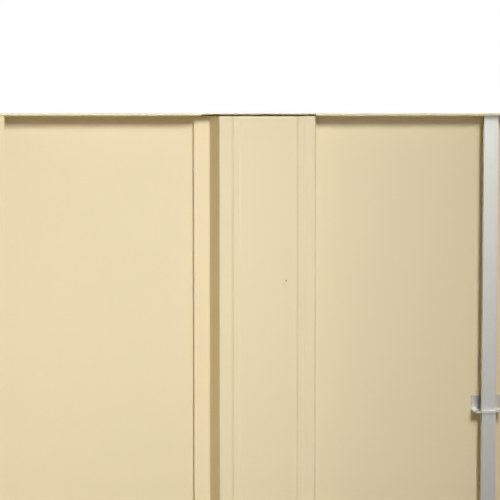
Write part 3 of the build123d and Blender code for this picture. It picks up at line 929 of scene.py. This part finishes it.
@dataclass(frozen=True)
class HatStiffener:
    """The full-height hat section inside a door: two beads along its crown and one flange raised on a leg."""

    pan: DoorPan
    crown_half: float = 38.1 * MM
    web_slant: float = 4.7 * MM
    flange: float = 12.8 * MM
    flange_rise: float = 2.6 * MM
    bead_inset: float = 12.3 * MM
    bead_width: float = 7.0 * MM
    bead_slope: float = 1.4 * MM
    bead_height: float = 0.9 * MM
    bead_shift: float = 1.0 * MM
    bead_round: float = 0.4 * MM
    bead_faces: int = 4
    bend_radius: float = 0.9 * MM
    bend_faces: int = 7
    end_gap: float = 2.2 * MM

    def section(self) -> list[tuple[float, float]]:
        """Draws the room side's section.

        Returns:
            Its corners, from the hinge side's leg and flange to the free side's flange.
        """
        skin = self.pan.outside + SHEET
        crown = self.pan.inside - self.bead_height
        foot = self.crown_half + self.web_slant
        edge = foot + self.flange
        hinge_side = [(-edge, skin), (-edge, skin + self.flange_rise), (-foot, skin + self.flange_rise)]
        free_side = [(foot, skin + SHEET), (edge, skin + SHEET)]
        middle = self.crown_half - self.bead_inset
        half = self.bead_width / 2
        ridge = half - self.bead_slope
        free_half = [
            (self.crown_half, crown),
            (middle + half, crown),
            (middle + ridge, crown + self.bead_height),
            (middle - ridge, crown + self.bead_height),
            (middle - half, crown),
        ]
        hinge_half = [(-u, v) for u, v in free_half]
        for line in (hinge_half, free_half):
            line[1:] = [(u + self.bead_shift, v) for u, v in line[1:]]
        return hinge_side + hinge_half + free_half[::-1] + free_side

    def on_bead(self, co: Vector) -> bool:
        """Whether a fold belongs to a bead."""
        return abs(co.x - self.pan.middle) < self.crown_half - self.bead_inset / 2

    def build(self, material: bpy.types.Material) -> bpy.types.Object:
        """Makes the stiffener and lets it stand for its CAD node.

        Args:
            material: the enamel.

        Returns:
            The piece.
        """
        place = self.pan.place
        low, high = place.bottom + self.end_gap, place.top - self.end_gap
        sheet = FoldedSheet()
        first = sheet.row((self.pan.middle + u, v, low) for u, v in self.section())
        sheet.draw_out(first, (0, 0, high - low))
        sheet.round_bends(self.bead_round, self.bead_faces, self.on_bead)
        sheet.round_bends(self.bend_radius, self.bend_faces, lambda co: not self.on_bead(co))
        sheet.thicken(Vector((0, 1, 0)))
        word = place.side.word
        name = f"{word}_door_hat"
        piece = piece_from(sheet.bm, name, place.matrix(), material, f"{word}_door")
        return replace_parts(piece, f"{word}_door_stiffener")


# Handle


@dataclass(frozen=True)
class LeverHandle:
    """The lever: a hub with the key plug's bore, a neck behind it, and an arm tapered towards the hinge."""

    place: DoorPlace
    axis: Vector
    face: float = -29.45 * MM
    back: float = -16.45 * MM
    neck_end: float = 0.35 * MM
    hub_radius: float = 15.0 * MM
    tip_radius: float = 8.0 * MM
    neck_radius: float = 12.5 * MM
    reach: float = 98.0 * MM
    bore_radius: float = 6.1 * MM
    bore_depth: float = 12.3 * MM
    face_round: float = 3.7 * MM
    face_round_faces: int = 6
    back_round: float = 1.1 * MM
    back_round_faces: int = 3
    corners: int = 48

    def build(self, material: bpy.types.Material) -> bpy.types.Object:
        """Makes the handle and lets it stand for its CAD node.

        Args:
            material: the plating.

        Returns:
            The piece.
        """
        bottom = Vector((self.axis.x, self.face + self.bore_depth, self.axis.z))
        form = RingForm(bottom, self.bore_radius, self.corners)
        form.grow(self.face)
        form.grow(self.face, self.hub_radius)
        tip = form.corners(self.on_tip)
        form.scale(self.tip_radius / self.hub_radius, tip)
        bmesh.ops.translate(form.bm, vec=(-self.reach, 0, 0), verts=tip)
        form.grow(self.back)
        form.grow(self.back)
        tip = form.corners(self.on_tip)
        bmesh.ops.translate(form.bm, vec=(self.reach, 0, 0), verts=tip)
        form.scale(self.hub_radius / self.tip_radius, tip)
        form.scale(self.neck_radius / self.hub_radius, form.corners())
        form.grow(self.neck_end)
        form.close()
        form.round_bends(self.face_round, self.face_round_faces, self.on_face)
        form.round_bends(self.back_round, self.back_round_faces, lambda co: self.at(co, self.back))
        piece = piece_from(form.bm, "lever_handle", self.place.matrix(), material, "handle")
        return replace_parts(piece, "door_handle")

    def on_tip(self, co: Vector) -> bool:
        """Whether a corner is on the half that makes the arm's tip."""
        return co.x < self.axis.x - TOUCH

    def in_bore(self, co: Vector) -> bool:
        """Whether a place is on the bore's rim."""
        return math.hypot(co.x - self.axis.x, co.z - self.axis.z) < self.bore_radius + NEAR

    def on_face(self, co: Vector) -> bool:
        """Whether a place is on the face's outer edge."""
        return self.at(co, self.face) and not self.in_bore(co)

    @staticmethod
    def at(co: Vector, depth: float) -> bool:
        """Whether a place is at a depth."""
        return abs(co.y - depth) < TOUCH


@dataclass(frozen=True)
class HandlePlate:
    """The plate behind the handle: rounded, with a fine groove round its field and two slotted screws."""

    place: DoorPlace
    axis: Vector
    back: float = 3.55 * MM
    width: float = 42.0 * MM
    height: float = 118.0 * MM
    thickness: float = 3.0 * MM
    corner: float = 5.0 * MM
    corner_faces: int = 8
    edge_round: float = 1.2 * MM
    edge_faces: int = 4
    border: float = 3.6 * MM
    groove: float = 0.45 * MM
    screw_from_axis: float = 47.0 * MM
    screw_corners: int = 32
    screw_rings_mm: tuple[tuple[float, float], ...] = ((1.3, 2.3), (1.0, 3.3), (0.5, 3.9), (-0.6, 4.1))
    screw_slot: float = 0.5 * MM
    slot_depth: float = 0.8 * MM

    @property
    def face(self) -> float:
        """The plane of the plate's face."""
        return self.back - self.thickness

    def build(self, material: bpy.types.Material) -> None:
        """Makes the plate, which stands for its CAD node, and its screws.

        Args:
            material: the plating.
        """
        place = self.place.matrix()
        plate = piece_from(self.plate(), "handle_plate", place, material, "right_door")
        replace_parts(plate, "handle_escutcheon")
        for word, way in (("upper", 1), ("lower", -1)):
            screw = self.screw(self.axis.z + way * self.screw_from_axis)
            piece_from(screw, f"{word}_plate_screw", place, material, "right_door")

    def plate(self) -> bmesh.types.BMesh:
        """Draws the plate at the lock's axis.

        Returns:
            The plate's mesh.
        """
        # A unit square, turned upright and stretched to the plate's outline.
        form = Form()
        turn = Matrix.Rotation(QUARTER_TURN, 4, "X")
        shape = Matrix.Diagonal((self.width, 1, self.height, 1))
        place = Matrix.Translation((self.axis.x, self.back, self.axis.z)) @ shape @ turn
        bmesh.ops.create_grid(form.bm, x_segments=1, y_segments=1, size=0.5, matrix=place)
        made = bmesh.ops.extrude_face_region(form.bm, geom=list(form.bm.faces), use_keep_orig=True)["geom"]
        bmesh.ops.translate(form.bm, vec=(0, -self.thickness, 0), verts=verts_of(made))
        bmesh.ops.recalc_face_normals(form.bm, faces=list(form.bm.faces))
        halfway = self.back - self.thickness / 2
        form.round_bends(self.corner, self.corner_faces, lambda co: abs(co.y - halfway) < TOUCH)
        inner = form.faces_where(lambda co: abs(co.y - self.face) < TOUCH)
        bmesh.ops.inset_region(form.bm, faces=inner, thickness=self.border, use_even_offset=True)
        for way in (-1, 1):
            bmesh.ops.inset_region(
                form.bm, faces=inner, thickness=self.groove, depth=way * self.groove, use_even_offset=True
            )
        form.round_bends(self.edge_round, self.edge_faces, self.on_rim)
        return form.bm

    def on_rim(self, co: Vector) -> bool:
        """Tells the outline of the plate's face from its groove.

        Args:
            co: a place, in the drawing.

        Returns:
            Whether it is on the face and near the outline.
        """
        aside = max(abs(co.x - self.axis.x) - self.width / 2 + self.corner, 0)
        along = max(abs(co.z - self.axis.z) - self.height / 2 + self.corner, 0)
        return abs(co.y - self.face) < TOUCH and math.hypot(aside, along) > self.corner - NEAR

    def screw(self, level: float) -> bmesh.types.BMesh:
        """A slotted screw's domed head.

        Args:
            level: its height.

        Returns:
            The head's mesh.
        """
        tops = [(self.face - rise * MM, radius * MM) for rise, radius in self.screw_rings_mm]
        form = RingForm(Vector((self.axis.x, tops[0][0], level)), tops[0][1], self.screw_corners)
        for depth, radius in tops[1:]:
            form.grow(depth, radius)
        form.close()
        for way in (-1, 1):
            form.cut(lambda co: True, (0, 0, level + way * self.screw_slot), (0, 0, 1))
        floor = form.faces_where(lambda co: abs(co.z - level) < self.screw_slot and co.y < self.face + TOUCH)
        made = bmesh.ops.extrude_face_region(form.bm, geom=floor)["geom"]
        bmesh.ops.translate(form.bm, vec=(0, self.slot_depth, 0), verts=verts_of(made))
        bmesh.ops.delete(form.bm, geom=[face for face in floor if face.is_valid], context="FACES_ONLY")
        return form.bm


# Studio


@dataclass(frozen=True)
class SoftBox:
    """A square soft light with a honeycomb that narrows its beam."""

    name: str
    stands: tuple[float, float, float]
    aims: tuple[float, float, float]
    side: float
    power: float
    beam: float = math.radians(180)
    mirrored: bool = False

    def build(self, place: Matrix) -> None:
        """Adds the light to the scene.

        Args:
            place: from the drawing that the light is placed in to the cabinet at rest.
        """
        lamp = bpy.data.lights.new(self.name, "AREA")
        lamp.size = self.side
        lamp.energy = self.power
        lamp.spread = self.beam
        light = bpy.data.objects.new(self.name, lamp)
        stand, aim = place @ Vector(self.stands), place @ Vector(self.aims)
        light.location = stand
        light.rotation_euler = (aim - stand).to_track_quat("-Z", "Y").to_euler()
        light.visible_glossy = self.mirrored
        bpy.context.scene.collection.objects.link(light)
        log.info("%s: %.0f W", self.name, self.power)


@dataclass(frozen=True)
class Camera:
    """The camera, placed in the right door's drawing: it looks at the door's inside from the hinge's side."""

    aim_u: float = 203.0 * MM
    aim_v: float = 21.5 * MM
    aim_below_lip: float = 106.0 * MM
    distance: float = 1.5
    yaw: float = math.radians(12.3)
    lens: float = 139.3

    def build(self, door: DoorPlace) -> None:
        """Adds the camera and makes it the scene's own.

        Args:
            door: the right door.
        """
        camera = bpy.data.cameras.new("camera")
        camera.lens = self.lens
        seat = bpy.data.objects.new("camera", camera)
        aim = door.point(self.aim_u, self.aim_v, door.top - self.aim_below_lip)
        back = self.distance * math.cos(self.yaw)
        aside = self.distance * math.sin(self.yaw)
        seat.location = door.point(self.aim_u - aside, self.aim_v + back, door.top)
        seat.rotation_euler = (aim - seat.location).to_track_quat("-Z", "Y").to_euler()
        bpy.context.scene.collection.objects.link(seat)
        bpy.context.scene.camera = seat
        log.info("camera: %.0f mm lens", self.lens)


@dataclass(frozen=True)
class Studio:
    """Floor, white surroundings and soft lights."""

    ambient: float = 0.04
    floor_half: float = 9.0
    floor_fade: tuple[float, float] = (0.9, 3.2)
    floor_colour: Colour = (0.8, 0.8, 0.79, 1)
    floor_roughness: float = 0.9
    key: SoftBox = SoftBox(
        "key",
        (0.43, 1.2, 2.32),
        (0.03, 0.0, 1.54),
        side=0.34,
        power=2.12,
        beam=math.radians(60),
        mirrored=True,
    )
    room: tuple[SoftBox, ...] = (
        SoftBox("front", (2.2, -2.0, 2.3), (0.0, 0.0, 0.9), side=1.6, power=80.0),
        SoftBox("back", (0.6, 3.2, 2.3), (0.0, 0.2, 0.9), side=2.0, power=80.0),
        SoftBox("left", (-3.0, 1.2, 1.0), (-0.4, 0.0, 0.9), side=1.6, power=52.0),
        SoftBox("top", (0.9, 1.1, 3.4), (0.0, 0.0, 1.8), side=1.4, power=34.0),
    )

    def build(self, door: DoorPlace) -> None:
        """Sets up the surroundings.

        Args:
            door: the right door, which the key light is placed by.
        """
        bpy.context.scene.view_settings.view_transform = "Standard"
        self.build_world()
        self.build_floor()
        self.key.build(door.matrix())
        for box in self.room:
            box.build(Matrix.Identity(4))

    def build_world(self) -> None:
        """White where the camera or a reflection looks, and plain soft light elsewhere."""
        world = bpy.data.worlds.new("surroundings")
        world.use_nodes = True
        bpy.context.scene.world = world
        board = Board(world.node_tree)
        rays = board.node("ShaderNodeLightPath")
        seen = board.term(rays, "Is Camera Ray") + board.term(rays, "Is Glossy Ray")
        seen = (seen + board.term(rays, "Is Transmission Ray")).clamped()
        soft = board.shader("ShaderNodeBackground", {"Color": WHITE, "Strength": self.ambient})
        white = board.shader("ShaderNodeBackground", {"Color": WHITE, "Strength": 1.0})
        mixed = board.shader("ShaderNodeMixShader", {0: seen, 1: soft, 2: white})
        board.node("ShaderNodeOutputWorld", None, {"Surface": mixed})

    def build_floor(self) -> None:
        """A plain pale floor that fades to white away from the cabinet."""
        bm = bmesh.new()
        bmesh.ops.create_grid(bm, x_segments=1, y_segments=1, size=self.floor_half)
        mesh = bpy.data.meshes.new("floor")
        bm.to_mesh(mesh)
        bm.free()
        material = bpy.data.materials.new("pale_floor")
        material.use_nodes = True
        board = Board(material.node_tree)
        matt = {"Base Color": self.floor_colour, "Roughness": self.floor_roughness}
        pale = board.shader("ShaderNodeBsdfPrincipled", matt)
        white = board.shader("ShaderNodeEmission", {"Color": WHITE, "Strength": 1.0})
        length = board.node("ShaderNodeVectorMath", {"operation": "LENGTH"}, {0: board.place()})
        away = board.term(length, "Value").ramp(*self.floor_fade)
        seen = board.term(board.node("ShaderNodeLightPath"), "Is Camera Ray")
        mixed = board.shader("ShaderNodeMixShader", {0: seen * away, 1: pale, 2: white})
        board.node("ShaderNodeOutputMaterial", None, {"Surface": mixed})
        mesh.materials.append(material)
        floor = bpy.data.objects.new("floor", mesh)
        bpy.context.scene.collection.objects.link(floor)


def dress_nodes(frame: dict, finishes: Finishes) -> None:
    """Gives every CAD node the finish of its slot. The top's enamel is the same, dulled by dust and use.

    Args:
        finishes: the materials.
    """
    dulled = {"top_panel": PuttyEnamel("putty_enamel_dulled", roughness=0.6, shine=0.05).material()}
    for subpart in frame["record"]["subparts"]:
        node = frame["nodes"][subpart["node"]]
        node.data.materials.clear()
        finish = dulled.get(subpart["node"]) or finishes[Slot(subpart["material_slot"])]
        node.data.materials.append(finish)
        log.info("%s: %s", node.name, subpart["material_slot"])


def main() -> None:
    """Loads the frame, builds each sub-assembly in turn and sets up the studio."""
    logging.basicConfig(level=logging.INFO, format="%(message)s")
    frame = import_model()
    finishes = Finishes().build()
    dress_nodes(frame, finishes)
    right = DoorPlace.from_frame(frame, Side.RIGHT)
    left = DoorPlace.from_frame(frame, Side.LEFT)
    enamel = finishes[Slot.ENAMEL]
    chipped = PuttyEnamel("putty_enamel_chipped", chip=PaintChip(right)).material()
    for place, hat_paint in ((right, chipped), (left, enamel)):
        pan = DoorPan(place)
        pan.build(enamel)
        HatStiffener(pan).build(hat_paint)
    lock = right.drawn(Vector(joint_named(frame, "handle_turn")["pos_m"]))
    LeverHandle(right, lock).build(finishes[Slot.CHROME])
    HandlePlate(right, lock).build(finishes[Slot.CHROME])
    Studio().build(right)
    Camera().build(right)


if __name__ == "__main__":
    main()
